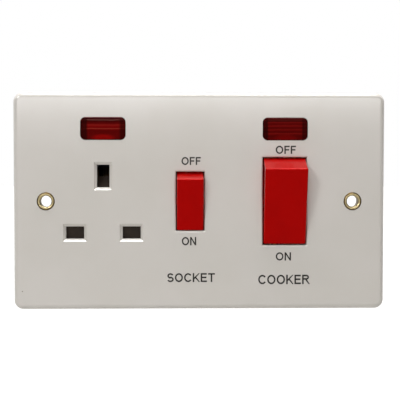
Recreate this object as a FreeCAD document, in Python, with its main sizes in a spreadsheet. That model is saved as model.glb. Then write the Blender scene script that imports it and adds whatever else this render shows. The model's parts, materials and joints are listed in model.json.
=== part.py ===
import FreeCAD, Part
import os
import re
import Sketcher

# Cooker control unit: a moulded two-gang wall plate with a 13 A switched socket and a two-pole cooker switch.
# Millimetres. The origin is the plate's centre on the wall plane, +X to the right seen from the front,
# +Y into the wall and +Z up, so the front face looks along -Y.

# Driving dimensions: name, value, what it measures.
size_rows = [
    ("plate_width", 146.0, "two-gang plate, side to side"),
    ("plate_height", 85.2, "two-gang plate, top to bottom"),
    ("plate_depth", 8.5, "wall plane to front face"),
    ("plate_wall", 2.6, "thickness of the front wall"),
    ("skirt_wall", 2.6, "thickness of the plate's rim"),
    ("corner_radius", 3.6, "plate corner seen from the front"),
    ("edge_radius", 2.0, "roll of the front edge"),
    ("fixing_spacing", 120.6, "between the two fixing holes"),
    ("eyelet_bore", 2.05, "eyelet's clear radius"),
    ("eyelet_wall", 0.6, "eyelet tube thickness"),
    ("eyelet_flange", 3.5, "eyelet's visible ring radius"),
    ("eyelet_collar", 3.5, "eyelet's spacer collar between the strap and the wall plane, radius"),
    ("eyelet_rim", 0.6, "thickness of the eyelet's ring"),
    ("eyelet_bevel", 0.27, "bevel of the eyelet's ring"),
    ("eyelet_proud", 0.25, "eyelet ring above the front face"),
    ("fit_gap", 0.05, "slack of a pressed or guided piece"),
    ("socket_x", -37.9, "centre line of the socket"),
    ("earth_z", 9.9, "height of the earth slot's centre"),
    ("pin_spacing", 22.23, "between pin centres, across and down"),
    ("pin_slot_width", 7.1, "line and neutral slot, across"),
    ("pin_slot_height", 4.8, "line and neutral slot, up"),
    ("earth_slot_width", 4.9, "earth slot, across"),
    ("earth_slot_height", 8.9, "earth slot, up"),
    ("slot_funnel", 1.1, "lead-in bevel round each pin slot"),
    ("lens_width", 17.6, "indicator lens, across"),
    ("lens_height", 8.8, "indicator lens, up"),
    ("lens_corner", 1.9, "corner radius of a lens"),
    ("lens_gap", 0.1, "slack of a lens in its window"),
    ("lens_flange", 1.0, "lip of a lens behind the plate, and its thickness"),
    ("lens_wall", 1.5, "lens front and side thickness"),
    ("lens_proud", 0.2, "lens above the front face"),
    ("lens_edge", 0.5, "lens's rounded front edge"),
    ("lens_rib", 0.5, "width and height of a lens rib"),
    ("lens_rib_pitch", 1.0, "between lens ribs"),
    ("socket_lens_z", 28.5, "height of the socket's lens"),
    ("cooker_lens_x", 33.6, "place of the cooker's lens"),
    ("cooker_lens_z", 28.4, "height of the cooker's lens"),
    ("lamp_radius", 2.0, "neon bulb's glass"),
    ("lamp_length", 12.0, "neon bulb's glass"),
    ("lamp_gap", 0.4, "bulb behind its lens"),
    ("lamp_clip", 1.2, "thickness of a lamp clip"),
    ("lamp_clip_offset", 4.0, "lamp clip from the lens centre"),
    ("lead_radius", 0.3, "wire lead of a lamp or resistor"),
    ("lead_length", 3.5, "wire lead of a lamp or resistor"),
    ("resistor_radius", 1.2, "resistor body"),
    ("resistor_length", 6.5, "resistor body"),
    ("resistor_gap", 1.0, "resistor's lead from the lip of the lens"),
    ("pivot_depth", 4.5, "rocker pivots behind the front face"),
    ("rocker_draft", 12.0, "slope of a rocker's end faces, degrees"),
    ("rocker_wall", 1.5, "rocker shell thickness"),
    ("rocker_skirt", 1.0, "rocker shell behind its pivot"),
    ("rocker_edge", 0.6, "rocker's rounded front edges"),
    ("trunnion_radius", 1.5, "rocker pivot stub"),
    ("trunnion_length", 1.9, "rocker pivot stub beyond the rocker's side"),
    ("ear_gap", 0.15, "bearing ear from the edge of the opening"),
    ("ear_wall", 1.4, "bearing ear round the stub"),
    ("ear_thick", 2.2, "bearing ear along the pivot"),
    ("running_fit", 0.06, "slack of a turning or sliding fit"),
    ("opening_round", 0.7, "rounded edge of a rocker opening"),
    ("socket_rocker_x", -3.75, "place of the socket's rocker"),
    ("socket_open_width", 11.15, "socket's rocker opening"),
    ("socket_open_height", 23.25, "socket's rocker opening"),
    ("socket_rocker_width", 10.45, "socket's rocker, across"),
    ("socket_face_half", 10.25, "half the length of the socket rocker's face"),
    ("socket_face_reach", 6.6, "socket rocker's pivot to its face"),
    ("socket_tilt", 11.5, "socket rocker's lean when on, degrees"),
    ("cooker_rocker_x", 33.5, "place of the cooker's rocker"),
    ("cooker_open_width", 17.35, "cooker's rocker opening"),
    ("cooker_open_height", 34.6, "cooker's rocker opening"),
    ("cooker_rocker_width", 16.65, "cooker's rocker, across"),
    ("cooker_face_half", 15.2, "half the length of the cooker rocker's face"),
    ("cooker_face_reach", 8.4, "cooker rocker's pivot to its face"),
    ("cooker_tilt", 14.0, "cooker rocker's lean when on, degrees"),
    ("pole_offset", 4.0, "each pole from the middle of the cooker switch"),
    ("fulcrum_reach", 11.0, "rocker pivot to contact fulcrum"),
    ("contact_thick", 1.0, "moving contact's metal"),
    ("contact_bend", 10.0, "bend of each contact arm, degrees"),
    ("contact_width", 5.0, "moving contact, across"),
    ("contact_gap", 0.08, "tip to fixed contact when on"),
    ("bead_radius", 0.9, "half-round bead that a contact rocks on"),
    ("bead_cover", 1.2, "fulcrum strip above its bead"),
    ("chamber_gap", 1.2, "switch chamber beyond the ends of its opening"),
    ("socket_arm", 9.0, "fulcrum to tip in the socket switch"),
    ("cooker_arm", 11.0, "fulcrum to tip in the cooker switch"),
    ("tip_height", 3.0, "contact tip along its arm"),
    ("tip_thick", 0.8, "contact tip"),
    ("plunger_radius", 1.9, "plunger head in its bore"),
    ("nose_radius", 1.5, "plunger's round nose"),
    ("nose_reach", 8.36, "rocker pivot to the centre of the nose"),
    ("plunger_head", 3.0, "length of the plunger's head"),
    ("head_recess", 0.2, "plunger's head inside the end of the stem"),
    ("stem_radius", 2.9, "rocker stem round the plunger"),
    ("stem_reach", 5.2, "rocker pivot to the stem's end"),
    ("bore_depth", 9.0, "plunger bore in the stem"),
    ("spring_wire", 0.4, "side of the square spring wire"),
    ("plunger_spring_radius", 1.4, "coil radius of a plunger spring"),
    ("plunger_spring_turns", 4.0, "turns of a plunger spring"),
    ("post_gap", 0.35, "moving contact from its fulcrum strip"),
    ("post_thick", 2.0, "fulcrum strip"),
    ("base_front", 3.0, "wall plane to the front of the bases"),
    ("base_wall", 1.6, "least wall of a base"),
    ("socket_base_left", -54.8, "socket base, left side"),
    ("socket_base_right", 5.5, "socket base, right side"),
    ("socket_base_top", 22.8, "socket base, top"),
    ("socket_base_low", -28.5, "socket base, bottom"),
    ("socket_base_depth", 19.0, "socket base behind the wall plane"),
    ("cooker_base_left", 15.5, "cooker base, left side"),
    ("cooker_base_right", 52.5, "cooker base, right side"),
    ("cooker_base_half", 31.0, "half the height of the cooker base"),
    ("cooker_base_depth", 22.0, "cooker base behind the wall plane"),
    ("base_round", 1.5, "corners of the bases"),
    ("pin_chamber", 8.0, "line and neutral contact chamber, square"),
    ("metal", 0.8, "pin contact metal"),
    ("jaw_gap", 3.7, "pin contact's jaws apart"),
    ("jaw_flare", 0.9, "spread of the jaws at their mouth"),
    ("jaw_width", 6.0, "line and neutral contact, across the jaws"),
    ("earth_jaw_width", 7.0, "earth contact, along the jaws"),
    ("flare_length", 2.0, "flared mouth of the jaws"),
    ("jaw_mouth", 2.0, "mouth of the jaws behind the wall plane, deep in the shade of the slots"),
    ("contact_back", 16.0, "rear of the pin contacts behind the wall plane"),
    ("contact_plate", 1.0, "rear plate of the pin contacts"),
    ("tail_height", 6.0, "height of the line contact's tail and the neutral contact's plate"),
    ("shutter_thick", 2.4, "shutter plate"),
    ("shutter_slack", 0.2, "shutter behind the plate's wall"),
    ("shutter_travel", 5.2, "how far the shutter slides down"),
    ("shutter_margin", 1.4, "shutter material round its windows"),
    ("shutter_stem", 7.6, "width of the shutter's upright"),
    ("ramp_rise", 4.0, "height of the shutter's ramp"),
    ("ramp_lift", 0.4, "ramp's foot above the bottom of the earth slot"),
    ("guide_thick", 1.2, "ribs that guide the shutter and seat its spring"),
    ("shutter_spring_radius", 0.95, "coil radius of the shutter spring"),
    ("shutter_spring_length", 10.5, "shutter spring when closed"),
    ("shutter_spring_turns", 6.0, "turns of the shutter spring"),
    ("strap_thick", 0.8, "earth strap"),
    ("strap_width", 5.0, "earth strap"),
    ("strap_pad", 4.5, "earth strap's pad round an eyelet, radius"),
    ("strap_top", 19.5, "height of the strap's upper run"),
    ("strap_low", -21.5, "height of the strap's lower run"),
    ("earth_gap_x", 10.5, "middle of the gap between the bases"),
    ("earth_block_width", 7.8, "earth terminal, across"),
    ("earth_tunnel_wall", 6.0, "metal in front of the earth tunnel, which lifts it clear of the plate's rim"),
    ("earth_clamp_wall", 2.8, "metal behind the earth tunnel, for its clamp screws"),
    ("earth_block_height", 16.0, "earth terminal, up"),
    ("tunnel_radius", 3.0, "cable tunnel of every terminal"),
    ("tunnel_wall", 1.2, "metal in front of a cable tunnel"),
    ("tunnel_end", 1.5, "metal at the closed end of a cooker terminal's tunnel"),
    ("terminal_width", 9.0, "cooker terminal, across"),
    ("terminal_length", 10.0, "cooker terminal along its tunnel"),
    ("terminal_front", 6.0, "front of the cooker terminals behind the wall plane"),
    ("terminal_offset", 8.0, "cooker terminals from the middle of the switch"),
    ("clamp_radius", 2.0, "clamp screw"),
    ("clamp_length", 6.0, "clamp screw"),
    ("clamp_pitch", 4.8, "between the two clamp screws of a terminal"),
    ("clamp_shift", 0.6, "clamp screws off the middle of a terminal, away from its closed end"),
    ("slot_width", 0.7, "screwdriver slot"),
    ("slot_depth", 0.9, "screwdriver slot"),
    ("link_thick", 1.0, "brass links"),
    ("link_height", 4.0, "brass links"),
    ("neutral_link_z", -18.5, "height of the neutral link"),
    ("line_link_z", -24.0, "height of the line link"),
    ("boss_radius", 3.0, "plate boss for a base screw"),
    ("screw_radius", 1.4, "base screw's shank"),
    ("screw_head", 2.2, "base screw's head radius"),
    ("screw_head_thick", 1.8, "base screw's head"),
    ("screw_seat", 1.0, "base screw's seat behind the wall plane"),
    ("screw_reach", 7.2, "wall plane to the base screw's tip"),
    ("base_slack", 0.2, "slack of the pieces that lie in a base"),
    ("side_screw_inset", 4.0, "outer screw of the socket base from its left side"),
    ("side_screw_z", 8.0, "outer screw of the socket base, height"),
    ("inner_screw_offset", 13.5, "inner screws of the socket base from its rocker"),
    ("top_screw_z", 13.0, "upper inner screw of the socket base, height"),
    ("low_screw_z", -23.8, "lower inner screw of the socket base, height"),
    ("cooker_screw_inset", 3.2, "cooker base's screws from its sides"),
    ("cooker_screw_z", 11.0, "cooker base's screws above and below its middle"),
    ("over_cut", 1.0, "how far a cut runs past a face"),
]
size_names = {name for name, value, note in size_rows}

# Places of the base screws, across and up, clear of the switches, contacts and links.
socket_screws = [
    ("socket_base_left + side_screw_inset", "side_screw_z"),
    ("socket_rocker_x - inner_screw_offset", "top_screw_z"),
    ("socket_rocker_x - inner_screw_offset", "low_screw_z"),
]
cooker_screws = [
    ("cooker_base_left + cooker_screw_inset", "-cooker_screw_z"),
    ("cooker_base_right - cooker_screw_inset", "cooker_screw_z"),
]

# Planes along Y that several pieces share.
front_y = "(-plate_depth)"
inner_y = "(plate_wall - plate_depth)"
strap_back_y = "(plate_wall - plate_depth + strap_thick)"
pivot_y = "(pivot_depth - plate_depth)"
base_y = "(-base_front)"
fulcrum_y = "(pivot_depth - plate_depth + fulcrum_reach)"
post_y = "(pivot_depth - plate_depth + fulcrum_reach + post_gap)"
pin_z = "(earth_z - pin_spacing)"
jaw_throat = "(jaw_mouth + flare_length)"
line_x = "(socket_x + pin_spacing/2)"
neutral_x = "(socket_x - pin_spacing/2)"
post_back_y = "(pivot_depth - plate_depth + fulcrum_reach + post_gap + post_thick)"
tunnel_y = "(terminal_front + tunnel_wall + tunnel_radius)"
earth_tunnel_y = "(plate_wall - plate_depth + strap_thick + earth_tunnel_wall + tunnel_radius)"
earth_block_y = "(plate_wall - plate_depth + strap_thick + earth_tunnel_wall + 2*tunnel_radius + earth_clamp_wall)"
terminal_z = "(cooker_base_half - terminal_length)"
clamp_z = "(cooker_base_half - terminal_length/2 + clamp_shift)"
line_fold_z = "(socket_arm - tip_height - contact_plate/2)"
lamp_y = "(plate_wall - plate_depth + lens_flange + lamp_gap + lamp_radius)"
shutter_y = "(plate_wall - plate_depth + shutter_slack)"
shutter_low = "(earth_z - pin_spacing - pin_slot_height/2 - shutter_margin)"
shutter_half = "(pin_spacing/2 + pin_slot_width/2 + shutter_margin)"
shutter_shoulder = "(earth_z - pin_spacing + shutter_travel + pin_slot_height/2 + shutter_margin + shutter_slack)"
ramp_low = "(earth_z - earth_slot_height/2 + ramp_lift)"

doc = FreeCAD.newDocument("cooker_control_unit")
sheet = doc.addObject("Spreadsheet::Sheet", "sizes")
for row, (name, value, note) in enumerate(size_rows, start=1):
    sheet.set("A%d" % row, name)
    sheet.set("B%d" % row, str(value))
    sheet.set("C%d" % row, note)
    sheet.setAlias("B%d" % row, name)
doc.recompute()


def number(text):
    """Value of an expression of the sheet's names."""
    return float(sheet.evalExpression(text))


def bind(feature, prop, text):
    """Tie a property to the sheet."""
    def cell(word):
        return "sizes." + word.group(0) if word.group(0) in size_names else word.group(0)
    feature.setExpression(prop, re.sub(r"[a-z_]+", cell, text))


def new_body(label, place=("0", "0", "0"), lean=None):
    """Empty body at a place, turned about X by an angle if it leans."""
    body = doc.addObject("PartDesign::Body", label)
    body.Label = label
    if lean:
        body.Placement = FreeCAD.Placement(FreeCAD.Vector(), FreeCAD.Rotation(FreeCAD.Vector(1, 0, 0), 1))
        bind(body, "Placement.Rotation.Angle", lean)
    for axis, text in zip("xyz", place):
        bind(body, "Placement.Base." + axis, text)
    return body


def rect(left, low, right, top):
    """Corners of a rectangle."""
    return [(left, low), (right, low), (right, top), (left, top)]


def middle_rect(x, y, width, height):
    """Corners of a rectangle about its middle."""
    return rect("%s - (%s)/2" % (x, width), "%s - (%s)/2" % (y, height),
                "%s + (%s)/2" % (x, width), "%s + (%s)/2" % (y, height))


def disc(x, y, radius):
    """Circle for a sketch."""
    return {"x": x, "y": y, "radius": radius}


def draw(sketch, shape):
    """Add a polygon or a circle to a sketch, with every vertex, centre and radius tied to the sheet."""
    first = sketch.GeometryCount
    if isinstance(shape, dict):
        middle = FreeCAD.Vector(number(shape["x"]), number(shape["y"]), 0)
        sketch.addGeometry(Part.Circle(middle, FreeCAD.Vector(0, 0, 1), number(shape["radius"])))
        ties = [("DistanceX", (-1, 1, first, 3), shape["x"]), ("DistanceY", (-1, 1, first, 3), shape["y"]),
                ("Radius", (first,), shape["radius"])]
    else:
        corners = [FreeCAD.Vector(number(x), number(y), 0) for x, y in shape]
        sketch.addGeometry([Part.LineSegment(a, b) for a, b in zip(corners, corners[1:] + corners[:1])])
        count = len(shape)
        sketch.addConstraint([Sketcher.Constraint("Coincident", first + k, 2, first + (k + 1) % count, 1)
                              for k in range(count)])
        ties = []
        for k, (x, y) in enumerate(shape):
            ties.append(("DistanceX", (-1, 1, first + k, 1), x))
            ties.append(("DistanceY", (-1, 1, first + k, 1), y))
    rows = sketch.addConstraint([Sketcher.Constraint(kind, *where, number(text)) for kind, where, text in ties])
    for index, (kind, where, text) in zip(rows, ties):
        bind(sketch, "Constraints[%d]" % index, text)


def new_sketch(body, role, offset, shapes):
    """Sketch on one of a body's own planes, moved along the plane's normal."""
    plane = [feature for feature in body.Origin.OriginFeatures if feature.Role == role][0]
    sketch = body.newObject("Sketcher::SketchObject", body.Name + "_sketch")
    sketch.AttachmentSupport = [(plane, "")]
    sketch.MapMode = "FlatFace"
    bind(sketch, "AttachmentOffset.Base.z", offset)
    for shape in shapes:
        draw(sketch, shape)
    return sketch


def extrude(kind, body, axis, low, high, shapes):
    """Pad or Pocket of shapes between two places on an axis of the body."""
    role, offset = {"x": ("YZ_Plane", low), "y": ("XZ_Plane", "-(%s)" % high), "z": ("XY_Plane", low)}[axis]
    sketch = new_sketch(body, role, offset, shapes)
    feature = body.newObject("PartDesign::" + kind, body.Name + "_" + kind.lower())
    feature.Profile = (sketch, [""])
    feature.Reversed = kind == "Pocket"
    bind(feature, "Length", "(%s) - (%s)" % (high, low))
    doc.recompute()
    if kind == "Pocket" and feature.Shape.Volume >= feature.BaseFeature.Shape.Volume:
        raise RuntimeError(feature.Label + " cut nothing")
    return feature


def pad(body, axis, low, high, *shapes):
    """Material between two places on an axis."""
    return extrude("Pad", body, axis, low, high, shapes)


def pocket(body, axis, low, high, *shapes):
    """Material removed between two places on an axis."""
    return extrude("Pocket", body, axis, low, high, shapes)


def turned(body, axis, outline, plane="XY_Plane"):
    """Solid of revolution about the sketch's level (H) or upright (V) axis."""
    sketch = new_sketch(body, plane, "0", [outline])
    feature = body.newObject("PartDesign::Revolution", body.Name + "_turned")
    feature.Profile = (sketch, [""])
    feature.ReferenceAxis = (sketch, [axis + "_Axis"])
    feature.Angle = 360.0
    doc.recompute()
    return feature


def dress(kind, body, base, prop, text, test):
    """Fillet or Chamfer on the edges of a feature that pass a test."""
    names = ["Edge%d" % k for k, edge in enumerate(base.Shape.Edges, start=1) if test(edge)]
    feature = body.newObject("PartDesign::" + kind, body.Name + "_" + kind.lower())
    feature.Base = (base, names)
    bind(feature, prop, text)
    doc.recompute()
    return feature


def along(edge, axis):
    """True for a straight edge parallel to an axis."""
    box = edge.BoundBox
    spans = {"x": box.XLength, "y": box.YLength, "z": box.ZLength}
    return spans[axis] > 1e-6 and sum(spans.values()) - spans[axis] < 1e-6


def level(edge, axis, text):
    """True for an edge that lies whole at one place on an axis."""
    box = edge.BoundBox
    low, high = {"x": (box.XMin, box.XMax), "y": (box.YMin, box.YMax), "z": (box.ZMin, box.ZMax)}[axis]
    return abs(low - number(text)) < 1e-4 and abs(high - number(text)) < 1e-4


def inside(edge, left, low, right, top):
    """True for an edge whose middle, seen from the front, is in a rectangle."""
    middle = edge.BoundBox.Center
    return number(left) < middle.x < number(right) and number(low) < middle.z < number(top)


def pin_slots(grow="0"):
    """The three pin slots as rectangles, widened by a margin."""
    return [
        middle_rect(line_x, pin_z, "pin_slot_width + 2*(%s)" % grow, "pin_slot_height + 2*(%s)" % grow),
        middle_rect(neutral_x, pin_z, "pin_slot_width + 2*(%s)" % grow, "pin_slot_height + 2*(%s)" % grow),
        middle_rect("socket_x", "earth_z", "earth_slot_width + 2*(%s)" % grow, "earth_slot_height + 2*(%s)" % grow),
    ]


def in_any(edge, boxes):
    """True for an edge whose middle is in one of several rectangles."""
    return any(inside(edge, *box[0], *box[2]) for box in boxes)


def make_front_plate():
    body = new_body("front_plate")
    slab = pad(body, "y", front_y, "0", middle_rect("0", "0", "plate_width", "plate_height"))
    corners = dress("Fillet", body, slab, "Radius", "corner_radius", lambda edge: along(edge, "y"))
    dress("Fillet", body, corners, "Radius", "edge_radius", lambda edge: level(edge, "y", front_y))
    sides = ("-fixing_spacing/2", "fixing_spacing/2")
    pocket(body, "y", inner_y, "0", *[disc(x, "0", "strap_pad + fit_gap") for x in sides])
    pocket(body, "y", inner_y, "0",
           middle_rect("0", "0", "plate_width - 2*skirt_wall", "plate_height - 2*skirt_wall"))

    # Ears behind the wall carry the rockers' stubs.
    ears = []
    for rocker in ("socket", "cooker"):
        near = "(%s_open_width/2 + ear_gap)" % rocker
        for side in ("-", "+"):
            middle = "%s_rocker_x %s (%s + ear_thick/2)" % (rocker, side, near)
            ears.append(middle_rect(middle, "0", "ear_thick", "2*(trunnion_radius + ear_wall)"))
    pad(body, "y", inner_y, pivot_y + " + trunnion_radius + ear_wall", *ears)

    # Bosses that the base screws bite into, ribs beside the shutter and the ledge under its spring.
    pad(body, "y", inner_y, base_y, *[disc(x, z, "boss_radius") for x, z in socket_screws + cooker_screws])
    guides = []
    for side in ("-", "+"):
        middle = "socket_x %s (%s + shutter_slack + guide_thick/2)" % (side, shutter_half)
        low = "%s - shutter_travel" % shutter_low
        guides.append(rect("%s - guide_thick/2" % middle, low, "%s + guide_thick/2" % middle, shutter_shoulder))
    ledge_top = "%s - shutter_spring_length" % shutter_low
    guides.append(rect("socket_x - 2*guide_thick", ledge_top + " - guide_thick",
                       "socket_x + 2*guide_thick", ledge_top))
    pad(body, "y", inner_y, base_y + " - fit_gap", *guides)

    # Windows through the front wall.
    lenses = [middle_rect(x, z, "lens_width + 2*lens_gap", "lens_height + 2*lens_gap")
              for x, z in (("socket_x", "socket_lens_z"), ("cooker_lens_x", "cooker_lens_z"))]
    openings = [middle_rect("%s_rocker_x" % name, "0", "%s_open_width" % name, "%s_open_height" % name)
                for name in ("socket", "cooker")]
    fixings = [disc(x, "0", "eyelet_bore + eyelet_wall + fit_gap") for x in sides]
    cut = pocket(body, "y", front_y + " - over_cut", inner_y, *lenses, *openings, *pin_slots(), *fixings)
    lens_zones = [middle_rect(x, z, "lens_width + over_cut", "lens_height + over_cut")
                  for x, z in (("socket_x", "socket_lens_z"), ("cooker_lens_x", "cooker_lens_z"))]
    cut = dress("Fillet", body, cut, "Radius", "lens_corner + lens_gap",
                lambda edge: along(edge, "y") and in_any(edge, lens_zones))
    opening_zones = [middle_rect("%s_rocker_x" % name, "0", "%s_open_width + over_cut" % name,
                                 "%s_open_height + over_cut" % name) for name in ("socket", "cooker")]
    cut = dress("Fillet", body, cut, "Radius", "opening_round",
                lambda edge: level(edge, "y", front_y) and in_any(edge, opening_zones))
    dress("Chamfer", body, cut, "Size", "slot_funnel",
          lambda edge: level(edge, "y", front_y) and in_any(edge, pin_slots("over_cut/2")))

    # Seats of the eyelets, bearings of the rockers and holes of the screws.
    pocket(body, "y", front_y + " - over_cut", front_y + " + eyelet_rim - eyelet_proud",
           *[disc(x, "0", "eyelet_flange + fit_gap") for x in sides])
    for name in ("socket", "cooker"):
        reach = "(%s_open_width/2 + ear_gap + ear_thick + over_cut)" % name
        pocket(body, "x", "%s_rocker_x - %s" % (name, reach), "%s_rocker_x + %s" % (name, reach),
               disc(pivot_y, "0", "trunnion_radius + running_fit"))
    pocket(body, "y", "-screw_reach - base_slack", base_y,
           *[disc(x, z, "screw_radius + fit_gap") for x, z in socket_screws + cooker_screws])


def make_eyelet(label, side):
    """Brass eyelet: a ring in the front face, a tube through the plate and the strap, and a collar to the wall."""
    body = new_body(label, ("%s fixing_spacing/2" % side, "0", "0"))
    tube = "eyelet_bore + eyelet_wall"
    front = front_y + " - eyelet_proud"
    ring = turned(body, "V", [
        ("eyelet_bore", front), ("eyelet_flange", front), ("eyelet_flange", front + " + eyelet_rim"),
        (tube, front + " + eyelet_rim"), (tube, strap_back_y), ("eyelet_collar", strap_back_y),
        ("eyelet_collar", "0"), ("eyelet_bore", "0"),
    ])
    dress("Chamfer", body, ring, "Size", "eyelet_bevel", lambda edge: level(edge, "y", front))


def make_earth_strap():
    body = new_body("earth_strap")
    left, right, gap, half = "-fixing_spacing/2", "fixing_spacing/2", "earth_gap_x", "strap_width/2"
    outline = [
        ("%s - %s" % (left, half), "0"), ("%s - %s" % (left, half), "strap_top + " + half),
        ("%s + %s" % (gap, half), "strap_top + " + half), ("%s + %s" % (gap, half), "strap_low + " + half),
        ("%s - %s" % (right, half), "strap_low + " + half), ("%s - %s" % (right, half), "0"),
        ("%s + %s" % (right, half), "0"), ("%s + %s" % (right, half), "strap_low - " + half),
        ("%s - %s" % (gap, half), "strap_low - " + half), ("%s - %s" % (gap, half), "strap_top - " + half),
        ("%s + %s" % (left, half), "strap_top - " + half), ("%s + %s" % (left, half), "0"),
    ]
    pad(body, "y", inner_y, strap_back_y, outline)
    pad(body, "y", inner_y, strap_back_y, disc(left, "0", "strap_pad"), disc(right, "0", "strap_pad"))
    hole = "eyelet_bore + eyelet_wall + fit_gap"
    pocket(body, "y", inner_y + " - over_cut", strap_back_y, disc(left, "0", hole), disc(right, "0", hole))


def make_lens(label, x, z):
    body = new_body(label, (x, "0", z))
    front = front_y + " - lens_proud"
    flange_back = inner_y + " + lens_flange"
    block = pad(body, "y", front, inner_y, middle_rect("0", "0", "lens_width", "lens_height"))
    block = dress("Fillet", body, block, "Radius", "lens_corner", lambda edge: along(edge, "y"))
    dress("Fillet", body, block, "Radius", "lens_edge", lambda edge: level(edge, "y", front))
    pad(body, "y", inner_y, flange_back,
        middle_rect("0", "0", "lens_width + 2*lens_flange", "lens_height + 2*lens_flange"))
    pocket(body, "y", front + " + lens_wall", flange_back,
           middle_rect("0", "0", "lens_width - 2*lens_wall", "lens_height - 2*lens_wall"))
    ribs = [middle_rect("0", "%d*lens_rib_pitch" % row, "lens_width - 2*lens_wall", "lens_rib")
            for row in range(-2, 3)]
    pad(body, "y", front + " + lens_wall", front + " + lens_wall + lens_rib", *ribs)
    clips = [middle_rect("%s lamp_clip_offset" % side, "0", "lamp_clip", "lens_height + lens_flange")
             for side in ("-", "")]
    pad(body, "y", flange_back, lamp_y, *clips)
    reach = "lamp_clip_offset + lamp_clip"
    pocket(body, "x", "-(%s)" % reach, reach, disc(lamp_y, "0", "lamp_radius + fit_gap"))


def make_lamp(label, x, z):
    body = new_body(label, (x, lamp_y, z))
    end, bevel = "lamp_length/2", "lamp_radius/4"
    turned(body, "H", [
        ("-" + end, "0"), ("-" + end, "lamp_radius - " + bevel), ("-%s + %s" % (end, bevel), "lamp_radius"),
        ("%s - 3*%s" % (end, bevel), "lamp_radius"), ("%s - %s" % (end, bevel), "lamp_radius/2"), (end, "0"),
    ])
    pad(body, "x", "-%s - lead_length" % end, "-" + end,
        *[disc("0", "%s lamp_radius/2" % side, "lead_radius") for side in ("-", "")])


def make_resistor(label, x, z):
    """Series resistor beside its lens, with a wire lead at each end."""
    offset = " + lens_width/2 + lens_flange + resistor_gap + lead_length + resistor_length/2"
    body = new_body(label, (x + offset, inner_y + " + resistor_radius + fit_gap", z))
    end, cap, waist = "resistor_length/2", "resistor_radius", "0.85*resistor_radius"
    turned(body, "H", [
        ("-%s - lead_length" % end, "0"), ("-%s - lead_length" % end, "lead_radius"), ("-" + end, "lead_radius"),
        ("-" + end, "resistor_radius"), ("-%s + %s" % (end, cap), "resistor_radius"),
        ("-%s + 1.3*%s" % (end, cap), waist), ("%s - 1.3*%s" % (end, cap), waist),
        ("%s - %s" % (end, cap), "resistor_radius"), (end, "resistor_radius"), (end, "lead_radius"),
        ("%s + lead_length" % end, "lead_radius"), ("%s + lead_length" % end, "0"),
    ])


def fixed_face(unit):
    """Plane along Y of a fixed contact: just behind the moving tip when the switch is on."""
    lean = "(contact_bend - %s_tilt/2)" % unit
    return ("(%s - contact_thick*cos(%s_tilt/2) - (%s_arm - tip_height/2)*sin(%s)"
            " + (contact_thick + tip_thick)*cos(%s) + contact_gap)" % (fulcrum_y, unit, unit, lean, lean))


def make_rocker(unit, stems):
    """Hollow rocker about its pivot, leaning to its ON side."""
    body = new_body(unit + "_rocker", (unit + "_rocker_x", pivot_y, "0"), unit + "_tilt")
    half, face, reach = unit + "_rocker_width/2", unit + "_face_half", unit + "_face_reach"
    rear = "%s + (%s + rocker_skirt)*tan(rocker_draft)" % (face, reach)
    shell = pad(body, "x", "-" + half, half, [
        ("-" + reach, "-" + face), ("-" + reach, face), ("rocker_skirt", rear), ("rocker_skirt", "-(%s)" % rear)])
    rims = ("-" + reach, "-" + half, half)
    dress("Fillet", body, shell, "Radius", "rocker_edge",
          lambda edge: level(edge, "y", rims[0]) or (not level(edge, "y", "rocker_skirt")
                                                     and (level(edge, "x", rims[1]) or level(edge, "x", rims[2]))))
    inner_face = "(%s - rocker_wall)" % face
    inner_rear = "%s + (%s - rocker_wall + rocker_skirt)*tan(rocker_draft)" % (inner_face, reach)
    inner_half = "(%s - rocker_wall)" % half
    pocket(body, "x", "-" + inner_half, inner_half, [
        ("rocker_wall - " + reach, "-" + inner_face), ("rocker_wall - " + reach, inner_face),
        ("rocker_skirt", inner_rear), ("rocker_skirt", "-(%s)" % inner_rear)])
    pad(body, "y", "rocker_wall/2 - " + reach, "stem_reach", *[disc(x, "0", "stem_radius") for x in stems])
    pocket(body, "y", "stem_reach - bore_depth", "stem_reach",
           *[disc(x, "0", "plunger_radius + running_fit") for x in stems])
    stub = disc("0", "0", "trunnion_radius")
    pad(body, "x", half + " - rocker_wall/2", half + " + trunnion_length", stub)
    pad(body, "x", "-%s - trunnion_length" % half, "rocker_wall/2 - " + half, stub)


def make_plunger(label, unit, x):
    """Plunger with a head in the stem's bore and a round nose, drawn as three cones inside the nose's sphere."""
    body = new_body(label, (x, pivot_y, "0"), unit + "_tilt")
    head_end = "stem_reach - head_recess"
    nose = [("nose_radius*cos(%d)" % turn, "nose_reach + nose_radius*sin(%d)" % turn) for turn in (0, 30, 60)]
    turned(body, "V", [
        ("0", head_end + " - plunger_head"), ("plunger_radius", head_end + " - plunger_head"),
        ("plunger_radius", head_end), ("nose_radius", head_end), *nose, ("0", "nose_reach + nose_radius")])


def make_coil(label, place, lean, plane, sizes_of):
    """Coil spring of square wire from its foot along the upright axis of its sketch plane."""
    radius, length, turns = sizes_of
    body = new_body(label, place, lean)
    sketch = new_sketch(body, plane, "0", [middle_rect(radius, "spring_wire/2 + fit_gap", "spring_wire", "spring_wire")])
    coil = body.newObject("PartDesign::AdditiveHelix", body.Name + "_coil")
    coil.Profile = (sketch, [""])
    coil.ReferenceAxis = (sketch, ["V_Axis"])
    coil.Mode = "height-turns-angle"
    bind(coil, "Height", "%s - spring_wire - 2*fit_gap" % length)
    bind(coil, "Turns", turns)
    doc.recompute()


def make_plunger_spring(label, unit, x):
    """Spring in a rocker's stem, from the floor of the bore to the plunger's head."""
    floor = "(stem_reach - bore_depth)"
    place = (x, "%s + %s*cos(%s_tilt)" % (pivot_y, floor, unit), "%s*sin(%s_tilt)" % (floor, unit))
    length = "bore_depth - plunger_head - head_recess"
    make_coil(label, place, unit + "_tilt", "XY_Plane", ("plunger_spring_radius", length, "plunger_spring_turns"))


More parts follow.
